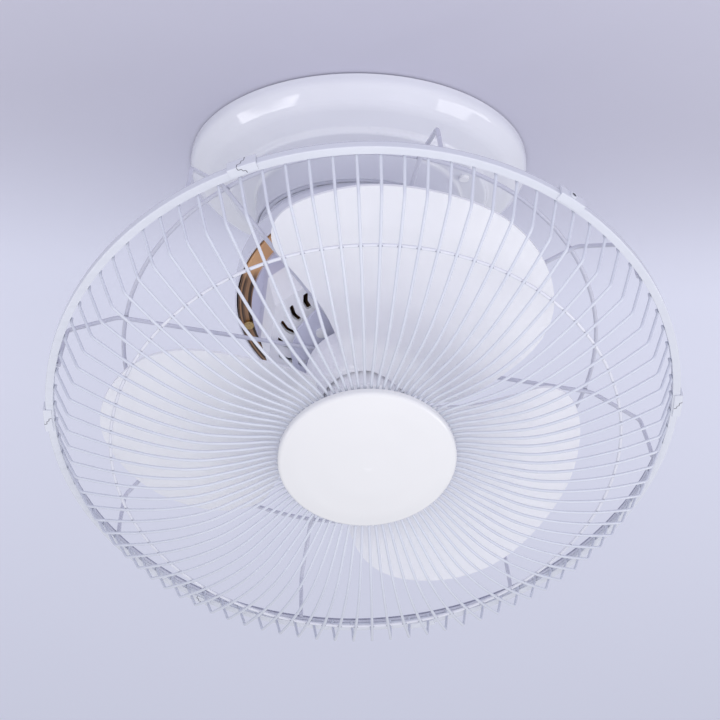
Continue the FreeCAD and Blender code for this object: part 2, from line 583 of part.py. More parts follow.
# motor bell behind the stator
bellInner = d.coreRadius + d.bellGap
bellRadius = bellInner + d.bellWall
bellWaist = bellRadius - d.bellWaistInset
bellSeat = d.stemFlangeRadius + d.bellSeat
bellUnder = d.bellTop - d.bellWall
bellBody = turned("BellShell", [
    (bellRadius, -d.bellMouth, d.bellLipRound), (bellRadius, d.bellStraight, d.bellShoulderRound),
    (bellWaist, d.bellWaistHeight, d.bellWaistRound), (d.bellCrown, d.bellCrownHeight, d.bellCrownRound),
    (bellSeat, d.bellTop), (d.stemCollarRadius, d.bellTop), (d.stemCollarRadius, bellUnder), (bellSeat, bellUnder),
    (d.bellCrown - d.bellWall / 2, d.bellCrownHeight - d.bellWall, d.bellCrownRound - d.bellWall),
    (bellWaist - d.bellWall, d.bellWaistHeight - d.bellWall / 2, d.bellWaistRound - d.bellWall),
    (bellInner, d.bellStraight - d.bellWall / 2, d.bellShoulderRound - 2 * d.bellWall), (bellInner, -d.bellMouth)])
bellHoles = copiesAround("BellHole", MOTOR_BOLTS, d.stemScrewCircle, 45,
                         lambda label, x, y: cylinder(label, d.screwRadius + d.fitClearance, bellUnder,
                                                      d.bellWall, x, y))
finish("motor_bell", cut("MotorBell", bellBody, group("BellHoles", bellHoles)), True)

# spacers between the bell and the rear shield, with the long screws that clamp the stem
spacerBlanks = copiesAround("SpacerBlank", MOTOR_BOLTS, d.stemScrewCircle, 45,
                            lambda label, x, y: cylinder(label, d.spacerRadius, d.rearShieldFace,
                                                         bellUnder - d.rearShieldFace, x, y))
spacerHoles = copiesAround("SpacerHole", MOTOR_BOLTS, d.stemScrewCircle, 45,
                           lambda label, x, y: cylinder(label, d.screwRadius + d.fitClearance, d.rearShieldFace,
                                                        bellUnder - d.rearShieldFace, x, y))
finish("bell_spacers", group("BellSpacers", [cut(f"Spacer{i + 1}", blank, hole) for i, (blank, hole)
                                             in enumerate(zip(spacerBlanks, spacerHoles))]), True)
stemScrewReach = flangeTop - d.rearShieldFace
finish("stem_screws", screws("StemScrew", MOTOR_BOLTS, d.stemScrewCircle, 45, flangeTop, stemScrewReach, True), True)

# stator core with winding slots, and its end windings
coreBody = turned("CoreRing", [
    (d.coreBore, -d.coreFront), (d.coreRadius, -d.coreFront, d.coreRound), (d.coreRadius, d.coreBack, d.coreRound),
    (d.coreBore, d.coreBack)])
slotHalf = d.slotWidth / 2
piercedRing(coreBody, "CoreSlot", [
    (d.coreBore - d.slotWidth, -slotHalf), (d.coreBore + d.slotDepth, -slotHalf),
    (d.coreBore + d.slotDepth, slotHalf), (d.coreBore - d.slotWidth, slotHalf)], CORE_SLOTS)
boltHoles = copiesAround("BoltHole", MOTOR_BOLTS, d.boltCircle, MOTOR_BOLT_ANGLE,
                         lambda label, x, y: cylinder(label, d.screwRadius + d.fitClearance, -2 * d.coreFront,
                                                      2 * d.coreFront + 2 * d.coreBack, x, y))
finish("stator_core", cut("StatorCore", coreBody, group("BoltHoles", boltHoles)), True)
for label, low in (("stator_winding_front", -d.coreFront - d.windingHeight), ("stator_winding_rear", d.coreBack)):
    name = label.title().replace("_", "")
    rounding = (d.windingOuter - d.windingInner) / 4
    finish(label, turned(name, [
        (d.windingInner, low, rounding), (d.windingOuter, low, rounding),
        (d.windingOuter, low + d.windingHeight, rounding), (d.windingInner, low + d.windingHeight, rounding)]), True)

# front shield: bearing hub with a slotted face, an eight-sided skirt and a flange against the core
faceFront = -d.frontShieldFace
faceBack = d.shieldWall - d.frontShieldFace
flangeFront = -d.coreFront - d.frontShieldFlange
bearingBack = d.motorBearingWidth - d.frontBearingFront
seatWall = d.motorBearingOuter + d.bearingSeatWall
frontShield = turned("FrontShieldFace", [
    (d.shieldLip, -d.shieldHubFront), (d.shieldHubRadius, -d.shieldHubFront, d.shieldHubRound),
    (d.shieldHubRadius, faceFront, d.shieldHubRound),
    (d.frontShieldFaceRadius, faceFront), (d.frontShieldFaceRadius, faceBack), (seatWall, faceBack),
    (seatWall, bearingBack), (d.motorBearingOuter, bearingBack),
    (d.motorBearingOuter, -d.frontBearingFront), (d.shieldLip, -d.frontBearingFront)])
ventHalf = d.ventWidth / 2
ventBend = (d.ventInner + d.ventOuter) / 2
piercedRing(frontShield, "Vent", [
    (d.ventInner, -d.ventSweep - ventHalf, d.ventEndRound), (ventBend, -d.ventBow - ventHalf, d.ventBendRound),
    (d.ventOuter, -ventHalf, d.ventEndRound), (d.ventOuter, ventHalf, d.ventEndRound),
    (ventBend, ventHalf - d.ventBow, d.ventBendRound),
    (d.ventInner, ventHalf - d.ventSweep, d.ventEndRound)], VENTS)


def skirtLoft(name, baseRadius, topRadius):
    # straight-sided frustum between two polygons
    sections = []
    for tag, radius, height in (("Base", baseRadius, flangeFront), ("Top", topRadius, faceFront)):
        polygon = doc.addObject("Part::RegularPolygon", f"{name}{tag}")
        polygon.Polygon = SKIRT_SIDES
        polygon.setExpression("Circumradius", toLength(radius).text)
        polygon.Placement = Placement(Vector(), Rotation(Vector(0, 0, 1), SKIRT_CORNER_ANGLE - 90))
        polygon.setExpression("Placement.Base.z", toLength(height).text)
        sections.append(polygon)
    loft = doc.addObject("Part::Loft", name)
    loft.Sections = sections
    loft.Solid = True
    loft.Ruled = True
    return loft


skirt = cut("SkirtTube", skirtLoft("SkirtOuter", d.skirtBase, d.skirtTop),
            skirtLoft("SkirtInner", d.skirtBase - d.skirtWall, d.skirtTop - d.skirtWall))
skirtFlange = cut("SkirtFlange", cylinder("SkirtFlangeDisc", d.frontShieldRim, flangeFront, d.frontShieldFlange),
                  cylinder("SkirtFlangeHole", d.windingOuter + d.shieldWall, flangeFront, d.frontShieldFlange))
bossPads = copiesAround("GuardBoss", MOTOR_BOLTS, d.guardScrewCircle, GUARD_SCREW_ANGLE,
                        lambda label, x, y: cylinder(label, d.bossPadRadius, d.guardPlateThick - d.guardPlateFront,
                                                     d.guardPlateFront - d.guardPlateThick + faceFront, x, y))
bossHoles = copiesAround("GuardBossHole", MOTOR_BOLTS, d.guardScrewCircle, GUARD_SCREW_ANGLE,
                         lambda label, x, y: cylinder(label, d.screwRadius + d.fitClearance, -d.guardPlateFront,
                                                      d.guardPlateFront + faceBack, x, y))
shieldBlank = fuse("FrontShieldBlank", [frontShield, skirt, skirtFlange] + bossPads)
finish("motor_front_shield", cut("MotorFrontShield", shieldBlank, group("GuardBossHoles", bossHoles)), True)

# rear shield: bearing hub, web, skirt and four ears for the through bolts
rearFace = d.rearShieldFace
webFront = d.rearShieldFace - d.rearShieldWeb
rearSkirtInner = d.rearShieldRim - d.rearShieldWeb
rearBearingBack = rearFace - d.shieldWall / 2
rearBearingFront = rearBearingBack - d.motorBearingWidth
rearShield = turned("RearShieldCasting", [
    (d.motorBearingOuter, rearBearingFront), (d.rearShieldHubRadius, rearBearingFront),
    (d.rearShieldHubRadius, webFront), (rearSkirtInner, webFront), (rearSkirtInner, d.coreBack),
    (d.rearShieldRim, d.coreBack), (d.rearShieldRim, rearFace, d.rearShieldRound), (d.shieldLip, rearFace),
    (d.shieldLip, rearBearingBack), (d.motorBearingOuter, rearBearingBack)])
rearEars = copiesAround("RearEar", MOTOR_BOLTS, d.boltCircle, MOTOR_BOLT_ANGLE,
                        lambda label, x, y: cylinder(label, d.boltCircle - d.rearShieldRim + d.rearShieldWeb / 2,
                                                     d.coreBack, d.frontShieldFlange, x, y))
earTrim = cut("EarTrim", cylinder("EarTrimOuter", 2 * d.coreRadius, d.coreBack, d.frontShieldFlange),
              cylinder("EarTrimInner", d.boltCircle + d.screwHeadRadius, d.coreBack, d.frontShieldFlange))
rearBlank = fuse("RearShieldBlank", [rearShield] + rearEars)
rearScrewHoles = copiesAround("RearScrewHole", MOTOR_BOLTS, d.boltCircle, MOTOR_BOLT_ANGLE,
                              lambda label, x, y: cylinder(label, d.screwRadius + d.fitClearance, d.coreBack,
                                                           2 * d.frontShieldFlange, x, y))
finish("motor_rear_shield", cut("MotorRearShield", rearBlank,
                                group("RearShieldCuts", [earTrim] + rearScrewHoles)), True)
boltLength = d.coreFront + d.coreBack + d.frontShieldFlange + d.screwHeadHeight
finish("motor_through_bolts", screws("ThroughBolt", MOTOR_BOLTS, d.boltCircle, MOTOR_BOLT_ANGLE, -d.coreFront,
                                     boltLength, False), True)
nutLow = d.coreBack + d.frontShieldFlange
boltNuts = []
for i in range(MOTOR_BOLTS):
    nutX, nutY = around(d.boltCircle, MOTOR_BOLT_ANGLE + 360 * i / MOTOR_BOLTS)
    hexagon = doc.addObject("Part::Prism", f"BoltNutHex{i + 1}")
    hexagon.Polygon = 6
    hexagon.setExpression("Circumradius", d.screwHeadRadius.text)
    hexagon.setExpression("Height", d.screwHeadHeight.text)
    bindPlace(hexagon, nutX, nutY, nutLow)
    boltNuts.append(cut(f"BoltNut{i + 1}", hexagon, cylinder(f"BoltNutBore{i + 1}", d.screwRadius + d.fitClearance,
                                                            nutLow, d.screwHeadHeight, nutX, nutY)))
finish("through_bolt_nuts", group("ThroughBoltNuts", boltNuts), True)

shaftBore = d.shaftRadius + d.runClearance
finish("shaft_bearing_front", bearing("ShaftBearingFront", shaftBore, d.motorBearingOuter - d.fitClearance,
                                      -d.frontBearingFront, d.motorBearingWidth), True)
finish("shaft_bearing_rear", bearing("ShaftBearingRear", shaftBore, d.motorBearingOuter - d.fitClearance,
                                     rearBearingFront, d.motorBearingWidth), True)

# guard plate on the front shield, with the eight rear wires welded to it
guardPolygon = doc.addObject("Part::Prism", "GuardPolygon")
guardPolygon.Polygon = PLATE_SIDES
guardPolygon.setExpression("Circumradius", d.guardPlateRadius.text)
guardPolygon.setExpression("Height", d.guardPlateThick.text)
guardPolygon.setExpression("Placement.Base.z", (-d.guardPlateFront).text)
plateLow, plateSpan = -2 * d.guardPlateFront, 2 * d.guardPlateFront
guardCuts = [cylinder("GuardPlateBore", d.shieldHubRadius + d.guardPlatePlay, plateLow, plateSpan)]
guardCuts += copiesAround("GuardScrewHole", MOTOR_BOLTS, d.guardScrewCircle, GUARD_SCREW_ANGLE,
                          lambda label, x, y: cylinder(label, d.screwRadius + d.fitClearance, plateLow, plateSpan,
                                                       x, y))
guardCuts += copiesAround("GuardPlateHole", MOTOR_BOLTS, d.guardHoleCircle, GUARD_HOLE_ANGLE,
                          lambda label, x, y: cylinder(label, d.guardHoleRadius, plateLow, plateSpan, x, y))
finish("guard_plate", cut("GuardPlate", guardPolygon, group("GuardPlateCuts", guardCuts)), True)
finish("guard_plate_screws", screws("GuardScrew", MOTOR_BOLTS, d.guardScrewCircle, GUARD_SCREW_ANGLE,
                                    -d.guardPlateFront, d.guardPlateFront - d.frontShieldFace + d.shieldWall, False),
       True)

rearWireZ = d.weldOverlap - d.guardPlateFront - d.rearWireRadius
rimInside = d.rimRingRadius - d.rimRingWire + d.weldOverlap
frontRingZ = -d.rimAhead - d.rimRingWire
rearRingZ = frontRingZ + 2 * d.rimRingWire + d.rimRingGap
rearEndRadius = rimInside - d.rearWireRadius
rearOutline = [(d.rearWireStart, rearWireZ), (d.rearRingRadius + d.rearCornerRun, rearWireZ),
               (rearEndRadius - d.rearKneeInset, -d.rearKneeAhead), (rearEndRadius, rearRingZ + d.rearWireRise),
               (rearEndRadius, rearRingZ - d.rimRingWire / 2)]
rearBends = [None, d.rearBend, d.rearKneeBend, None, None]
finish("rear_guard_wires", wireCage("RearGuardWires", rearOutline, rearBends, d.rearWireRadius, REAR_WIRES,
                                    REAR_WIRE_ANGLE), True)
finish("rear_guard_ring", ring("RearGuardRing", d.rearRingRadius, d.rearRingWire,
                               rearWireZ + d.rearWireRadius + d.rearRingWire - d.weldOverlap), True)
finish("rear_rim_ring", ring("RearRimRing", d.rimRingRadius, d.rimRingWire, rearRingZ), True)

# rim: the two rim rings lie in one channel-shaped band, held by clips and one locking screw
bandInner = d.rimRingRadius + d.rimRingWire + d.bandSidePlay
bandRadius = bandInner + d.bandWall
bandLipInner = d.rimRingRadius - d.bandLipReach
bandFront = frontRingZ - d.rimRingWire - d.bandPlay
bandBack = rearRingZ + d.rimRingWire + d.bandPlay
bandBody = turned("BandChannel", [
    (bandLipInner, bandFront - d.bandLip), (bandRadius, bandFront - d.bandLip, d.bandFrontRound),
    (bandRadius, bandBack + d.bandLip, d.bandBackRound), (bandLipInner, bandBack + d.bandLip),
    (bandLipInner, bandBack), (bandInner, bandBack), (bandInner, bandFront), (bandLipInner, bandFront)])
screwPlace = Placement(Vector(0, 0, (frontRingZ.value + rearRingZ.value) / 2),
                       Rotation(Vector(0, 0, 1), CLIP_ANGLES[0]))
radial = Placement(Vector(0, 0, 0), Rotation(Vector(1, 0, 0), 90))


def radialCylinder(name, radius, start, length):
    item = doc.addObject("Part::Cylinder", name)
    item.setExpression("Radius", toLength(radius).text)
    item.setExpression("Height", toLength(length).text)
    item.Placement = screwPlace * radial * Placement(Vector(0, 0, toLength(start).value), Rotation())
    return item


rimHoleRadius = d.rimScrewRadius + d.fitClearance
finish("rim_band", cut("RimBand", bandBody, radialCylinder("BandHole", rimHoleRadius, bandInner - d.bandWall,
                                                           3 * d.bandWall)), True)
clipInner = bandRadius + d.fitClearance
clipOuter = clipInner + d.clipWall
clipFront = bandFront - d.bandLip - d.fitClearance
clipBack = bandBack + d.bandLip + d.fitClearance
clips = []
for i, clipTurnAngle in enumerate(CLIP_ANGLES):
    clipBody = doc.addObject("PartDesign::Body", f"Clip{i + 1}")
    clipSketch = sketchOn(clipBody, "XZ_Plane", f"Clip{i + 1}Profile")
    drawOutline(clipSketch, [
        (clipInner - d.clipLip, clipFront - d.bandLip), (clipOuter, clipFront - d.bandLip, d.clipRound),
        (clipOuter, clipBack + d.bandLip, d.clipRound), (clipInner - d.clipLip, clipBack + d.bandLip),
        (clipInner - d.clipLip, clipBack), (clipInner, clipBack), (clipInner, clipFront),
        (clipInner - d.clipLip, clipFront)])
    clipTurn = clipBody.newObject("PartDesign::Revolution", f"Clip{i + 1}Turn")
    clipTurn.Profile = clipSketch
    clipTurn.ReferenceAxis = (clipSketch, ["V_Axis"])
    clipTurn.Midplane = True
    clipTurn.setExpression("Angle", d.clipAngle.text)
    clipBody.Placement = Placement(Vector(), Rotation(Vector(0, 0, 1), clipTurnAngle - 90))
    clips.append(clipBody)
clips[0] = cut("LockedClip", clips[0], radialCylinder("ClipHole", rimHoleRadius, bandInner - d.bandWall,
                                                      3 * d.bandWall + d.clipWall))
finish("guard_clips", group("GuardClips", clips), True)
lockScrew = fuse("RimLockScrew", [
    radialCylinder("LockShank", d.rimScrewRadius, bandInner, clipOuter - bandInner + d.bandLip / 2),
    radialCylinder("LockHead", d.rimScrewHead, clipOuter, d.rimScrewHeadHeight)])
finish("rim_lock_screw", lockScrew, True)

# front guard: ninety wires on a rim ring, a middle ring and an inner ring
frontEndRadius = rimInside - d.frontWireRadius
frontOutline = [(frontEndRadius, rearRingZ - d.rimRingWire), (frontEndRadius, frontRingZ - 2 * d.rimRingWire),
                (frontEndRadius - d.frontKneeInset, -d.rimAhead - d.frontKneeDepth),
                (d.midRingRadius, -d.rimAhead - d.midRingDepth),
                (d.outerCrownRadius, -d.rimAhead - d.outerCrownDepth), (d.crownRadius, -d.rimAhead - d.crownDepth),
                (d.dipRadius, -d.rimAhead - d.dipDepth), (d.footRadius, -d.rimAhead - d.footDepth),
                (d.innerRingRadius - d.innerWireEnd, -d.rimAhead - d.innerDepth)]
frontBends = [None, None, d.frontKneeBend, None, None, None, None, None, None]
finish("front_guard_wires", wireCage("FrontGuardWires", frontOutline, frontBends, d.frontWireRadius, FRONT_WIRES,
                                     FRONT_WIRE_ANGLE), True)
finish("front_rim_ring", ring("FrontRimRing", d.rimRingRadius, d.rimRingWire, frontRingZ), True)
finish("front_mid_ring", ring("FrontMidRing", d.midRingRadius, d.midRingWire,
                              d.frontWireRadius + d.midRingWire - d.midRingSink - d.rimAhead - d.midRingDepth),
       True)
innerRingZ = d.frontWireRadius + d.innerRingWire - d.weldOverlap - d.rimAhead - d.innerDepth
finish("front_inner_ring", ring("FrontInnerRing", d.innerRingRadius, d.innerRingWire, innerRingZ), True)

# badge: domed cap in front of the wires, drawn back onto a clamp disc behind the inner ring
clampFront = innerRingZ + d.innerRingWire
badgeCrownZ = -d.rimAhead - d.badgeCrown
badgeEdgeZ = -d.rimAhead - d.badgeEdgeFront
badgeBackZ = -d.rimAhead - d.badgeEdgeBack
badgeDome = turned("BadgeDome", [
    (origin, badgeCrownZ), (d.badgeFlatRadius, badgeCrownZ + d.badgeFlatDrop, d.badgeFlatRound),
    (d.badgeRadius - d.badgeShoulderInset, badgeEdgeZ - d.badgeShoulderRise, d.badgeShoulderRound),
    (d.badgeRadius, badgeEdgeZ, d.badgeEdgeRound), (d.badgeRadius, badgeBackZ),
    (d.badgeRadius - d.badgeWall, badgeBackZ),
    (d.badgeRadius - d.badgeWall, badgeEdgeZ + d.badgeWall), (d.badgeBossRadius, badgeEdgeZ + d.badgeWall),
    (d.badgeBossRadius, clampFront), (origin, clampFront)])
badgeHoles = copiesAround("BadgeHole", POSTS, d.badgeScrewCircle, 0,
                          lambda label, x, y: cylinder(label, d.screwRadius + d.fitClearance,
                                                       clampFront - d.screwLength / 2, d.screwLength / 2, x, y))
finish("badge", cut("Badge", badgeDome, group("BadgeHoles", badgeHoles)), True)
clampHoles = copiesAround("ClampHole", POSTS, d.badgeScrewCircle, 0,
                          lambda label, x, y: cylinder(label, d.screwRadius + d.fitClearance, clampFront,
                                                       d.clampThick, x, y))
clampDisc = cylinder("ClampDisc", d.innerRingRadius + d.clampOverlap, clampFront, d.clampThick)
finish("badge_clamp", cut("BadgeClamp", clampDisc, group("ClampHoles", clampHoles)), True)
finish("badge_screws", screws("BadgeScrew", POSTS, d.badgeScrewCircle, 0, clampFront + d.clampThick,
                              d.screwLength / 2, True), True)

# rotor: shaft, rotor core, blade set, drive pin and lock nut
pinZ = -d.hubBack - d.pinBack
shaftBlank = cylinder("ShaftBar", d.shaftRadius, -d.shaftFront, d.shaftFront + d.shaftBack)


def crossPin(name, radius, length):
    item = doc.addObject("Part::Cylinder", name)
    item.setExpression("Radius", toLength(radius).text)
    item.setExpression("Height", toLength(length).text)
    item.Placement = Placement(Vector(-toLength(length).value / 2, 0, pinZ.value), Rotation(Vector(0, 1, 0), 90))
    return item


finish("motor_shaft", cut("MotorShaft", shaftBlank, crossPin("ShaftPinHole", d.pinRadius + d.fitClearance,
                                                            d.pinLength)), True)
finish("rotor_core", bearing("RotorCore", d.shaftRadius + d.fitClearance, d.coreBore - d.airGap, -d.coreFront,
                             d.coreFront + d.coreBack), True)
finish("drive_pin", crossPin("DrivePin", d.pinRadius, d.pinLength), True)

nutBack = d.hubRecess - d.hubFront
hubUnder = nutBack + d.hubWall
hubMouth = d.nutRadius + d.hubWall / 2
hubBody = turned("HubDome", [
    (d.shaftRadius + d.fitClearance, -d.hubBack), (d.hubBossRadius, -d.hubBack), (d.hubBossRadius, hubUnder),
    (d.hubFrontRadius - d.hubWall, hubUnder), (d.hubBackRadius - d.hubWall, -d.hubBack),
    (d.hubBackRadius, -d.hubBack, d.hubRimRound), (d.hubBackRadius, -d.hubBack - d.hubStraight, d.hubDomeRound),
    (d.hubFrontRadius + d.hubWall, -d.hubFront, d.hubFrontRound), (hubMouth, -d.hubFront), (hubMouth, nutBack),
    (d.shaftRadius + d.fitClearance, nutBack)])
pinSlot = box("PinSlot", d.pinLength + 4 * d.fitClearance, 2 * d.pinRadius + 2 * d.fitClearance,
              d.pinBack + d.pinRadius + d.fitClearance, -d.pinLength / 2 - 2 * d.fitClearance,
              -d.pinRadius - d.fitClearance, -d.hubBack - d.pinBack - d.pinRadius - d.fitClearance)
hubCut = cut("HubCut", hubBody, pinSlot)
doc.recompute()


def bladeSheet():
    # twisted, slightly cambered sheet above one blade, lofted through sections at three radii
    sections = []
    tip = d.bladeTip.value
    lead, trail = d.bladeLead.value, d.bladeTrail.value
    for share in (0.08, 0.4, 0.72, 1.04):
        pitch = d.rootPitch.value + (d.tipPitch.value - d.rootPitch.value) * min(1.0, share / 0.72)
        points = []
        for step in range(7):
            across = -1.08 * lead + (1.08 * lead + 1.08 * trail) * step / 6
            bow = d.bladeCamber.value * (1 - (2 * step / 6 - 1) ** 2)
            points.append(Vector(across, -tip * share, -d.bladePlane.value - pitch * across - bow))
        curve = Part.BSplineCurve()
        curve.interpolate(points)
        sections.append(Part.Wire(curve.toShape()))
    skin = Part.makeLoft(sections, False, False)
    return skin.Faces[0].extrude(Vector(0, 0, d.bladeThick.value))


def bladeOutline():
    points = []
    for share, side in BLADE_OUTLINE:
        width = d.bladeLead.value if side < 0 else d.bladeTrail.value
        points.append(Vector(side * width, -share * d.bladeTip.value, -d.shaftFront.value * 2))
    curve = Part.BSplineCurve()
    curve.interpolate(points)
    edge = curve.toShape()
    closing = Part.LineSegment(points[-1], points[0]).toShape()
    face = Part.Face(Part.Wire([edge, closing]))
    return face.extrude(Vector(0, 0, d.shaftFront.value * 2))


singleBlade = bladeSheet().common(bladeOutline())
hubInside = Part.makeCylinder(d.hubFrontRadius.value, 2 * d.shaftFront.value, Vector(0, 0, -2 * d.shaftFront.value))
singleBlade = singleBlade.cut(hubInside)
bladeShapes = []
for i in range(BLADES):
    blade = singleBlade.copy()
    blade.rotate(Vector(0, 0, 0), Vector(0, 0, 1), BLADE_ANGLE + 360.0 * i / BLADES)
    bladeShapes.append(blade)
bladeSet = doc.addObject("Part::Feature", "BladeSet")
bladeSet.Shape = hubCut.Shape.fuse(bladeShapes).removeSplitter()
finish("blade_set", bladeSet, True)

# lock nut with a ribbed skirt on the end of the shaft
nutFront = nutBack - d.nutHeight
nutBody = turned("NutBody", [
    (d.shaftRadius + d.fitClearance, nutBack), (d.nutRadius, nutBack, d.nutBackRound),
    (d.nutRadius - d.ribDepth, nutFront, d.nutFrontRound),
    (origin, nutFront), (origin, nutFront + d.hubWall), (d.shaftRadius + d.fitClearance, nutFront + d.hubWall)])
ribHalf = d.ribWidth / 2
piercedRing(nutBody, "NutRib", [
    (d.nutRadius - d.ribDepth, -ribHalf), (d.nutRadius + d.ribDepth, -ribHalf), (d.nutRadius + d.ribDepth, ribHalf),
    (d.nutRadius - d.ribDepth, ribHalf)], NUT_RIBS)
finish("lock_nut", nutBody, True)

doc.recompute()

for item in doc.Objects:
    if "Invalid" in item.State or "Error" in item.State:
        raise RuntimeError(f"{item.Name} ({item.Label}) failed: {item.State}")
os.makedirs("parts", exist_ok=True)
for label, item in nodes:
    shape = item.Shape
    if shape.isNull() or not shape.isValid():
        raise RuntimeError(f"{label} has no valid shape")
    if not shape.Solids:
        raise RuntimeError(f"{label} has no solid")
for label, item in nodes:
    item.Shape.exportStep(f"parts/{label}.step")
    print(label, len(item.Shape.Solids), round(item.Shape.Volume, 1))
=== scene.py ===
import math
import bmesh
import bpy
from mathutils import Matrix, Vector


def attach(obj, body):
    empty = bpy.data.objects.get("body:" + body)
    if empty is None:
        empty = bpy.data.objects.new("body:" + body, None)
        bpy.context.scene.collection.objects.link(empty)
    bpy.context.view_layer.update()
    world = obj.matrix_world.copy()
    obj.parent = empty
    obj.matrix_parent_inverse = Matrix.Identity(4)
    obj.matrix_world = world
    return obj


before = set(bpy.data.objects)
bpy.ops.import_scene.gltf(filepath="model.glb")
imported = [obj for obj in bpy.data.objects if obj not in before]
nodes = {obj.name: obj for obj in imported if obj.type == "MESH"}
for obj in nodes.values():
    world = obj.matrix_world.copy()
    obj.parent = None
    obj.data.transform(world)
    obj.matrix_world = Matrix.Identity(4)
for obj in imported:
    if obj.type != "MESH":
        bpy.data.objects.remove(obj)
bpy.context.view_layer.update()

print("frame loaded,", len(nodes), "nodes")

# the head is drawn about its own axis: z runs back along the fan axis from the pivot
head = {"pivotDrop": 0.112, "tilt": 27.0}
headMatrix = (Matrix.Translation((0, 0, -head["pivotDrop"]))
              @ Matrix.Rotation(math.radians(-head["tilt"]), 4, "X"))


def polarPoint(radius, angle, height):
    # angles start on the side of -y and grow towards x
    turn = math.radians(angle)
    return Vector((radius * math.sin(turn), -radius * math.cos(turn), height))


def headPoint(radius, angle, height):
    return headMatrix @ polarPoint(radius, angle, height)


# shader nodes
def setInputs(tree, node, inputs):
    # each input gets a plain value or another node's output
    for key, value in inputs.items():
        if isinstance(value, bpy.types.NodeSocket):
            tree.links.new(value, node.inputs[key])
        else:
            node.inputs[key].default_value = value


def addNode(tree, kind, inputs, **settings):
    node = tree.nodes.new(kind)
    for key, value in settings.items():
        setattr(node, key, value)
    setInputs(tree, node, inputs)
    return node


def objectPlace(tree, tilt=0.0, stretch=(1, 1, 1)):
    place = addNode(tree, "ShaderNodeTexCoord", {})
    turned = addNode(tree, "ShaderNodeMapping", {
        "Vector": place.outputs["Object"], "Rotation": (math.radians(tilt), 0, 0),
        "Scale": stretch})
    return turned.outputs["Vector"]


def placePart(tree, place, axis):
    return addNode(tree, "ShaderNodeSeparateXYZ", {"Vector": place}).outputs[axis]


def vectorLength(tree, vector):
    length = addNode(tree, "ShaderNodeVectorMath", {0: vector}, operation="LENGTH")
    return length.outputs["Value"]


def fanAxisReach(tree, place):
    # distance from the fan axis, for a place turned by the head's tilt
    drop = head["pivotDrop"] * math.sin(math.radians(head["tilt"]))
    flat = addNode(tree, "ShaderNodeVectorMath", {0: place, 1: (1, 1, 0), 2: (0, -drop, 0)},
                   operation="MULTIPLY_ADD")
    return vectorLength(tree, flat.outputs["Vector"])


def mapSpan(tree, value, span, result=(0, 1), shape="LINEAR"):
    mapped = addNode(tree, "ShaderNodeMapRange", {
        "Value": value, "From Min": span[0], "From Max": span[1],
        "To Min": result[0], "To Max": result[1]}, interpolation_type=shape)
    return mapped.outputs["Result"]


def mixColour(tree, share, first, second, mode="MIX"):
    mix = addNode(tree, "ShaderNodeMix", {"Factor": share, "A": first, "B": second},
                  data_type="RGBA", blend_type=mode)
    return mix.outputs["Result"]


def colourRamp(tree, value, stops, shape="LINEAR"):
    node = addNode(tree, "ShaderNodeValToRGB", {"Fac": value})
    ramp = node.color_ramp
    ramp.interpolation = shape
    for k, (share, colour) in enumerate(stops):
        stop = ramp.elements[k] if k < 2 else ramp.elements.new(share)
        stop.position = share
        stop.color = (*colour, 1)
    return node.outputs["Color"]


# the part of a noise's range over which colour and roughness drift
drift = {"colour": (0.32, 0.68), "rough": (0.3, 0.7)}


def addNoise(tree, scale, detail, stretch=(1, 1, 1)):
    place = objectPlace(tree, stretch=stretch)
    noise = addNode(tree, "ShaderNodeTexNoise", {
        "Vector": place, "Scale": scale, "Detail": detail})
    return noise.outputs["Fac"]


def colourDrift(tree, noise, low, high):
    return colourRamp(tree, noise, zip(drift["colour"], (low, high)))


def roughnessDrift(tree, noise, rough):
    return mapSpan(tree, noise, drift["rough"], rough)


def surfaceBump(tree, height, strength, distance):
    bump = addNode(tree, "ShaderNodeBump", {
        "Height": height, "Strength": strength, "Distance": distance})
    return bump.outputs["Normal"]


# finishes
def newMaterial(name):
    material = bpy.data.materials.new(name)
    material.use_nodes = True
    tree = material.node_tree
    return material, tree, tree.nodes["Principled BSDF"]


paintBase = {"broadScale": 14, "broadDetail": 3, "fineDetail": 2, "bumpDepth": 0.0002,
             "coatRough": 0.08}


def paintedFinish(name, low, high, rough, grain, bump, coat=0.0, specular=0.5):
    material, tree, shader = newMaterial(name)
    broad = addNoise(tree, paintBase["broadScale"], paintBase["broadDetail"])
    fine = addNoise(tree, grain, paintBase["fineDetail"])
    setInputs(tree, shader, {
        "Base Color": colourDrift(tree, broad, low, high),
        "Roughness": roughnessDrift(tree, broad, rough),
        "Normal": surfaceBump(tree, fine, bump, paintBase["bumpDepth"]),
        "Coat Weight": coat,
        "Coat Roughness": paintBase["coatRough"],
        "Specular IOR Level": specular,
    })
    return material


metalBase = {"broadScale": 60, "broadDetail": 3, "fineDetail": 4, "stretch": (1, 1, 6),
             "bump": 0.12, "bumpDepth": 0.0001}


def metalFinish(name, low, high, rough, grain):
    material, tree, shader = newMaterial(name)
    broad = addNoise(tree, metalBase["broadScale"], metalBase["broadDetail"])
    fine = addNoise(tree, grain, metalBase["fineDetail"], metalBase["stretch"])
    setInputs(tree, shader, {
        "Base Color": colourDrift(tree, broad, low, high),
        "Roughness": roughnessDrift(tree, fine, rough),
        "Normal": surfaceBump(tree, fine, metalBase["bump"], metalBase["bumpDepth"]),
        "Metallic": 1.0,
    })
    return material


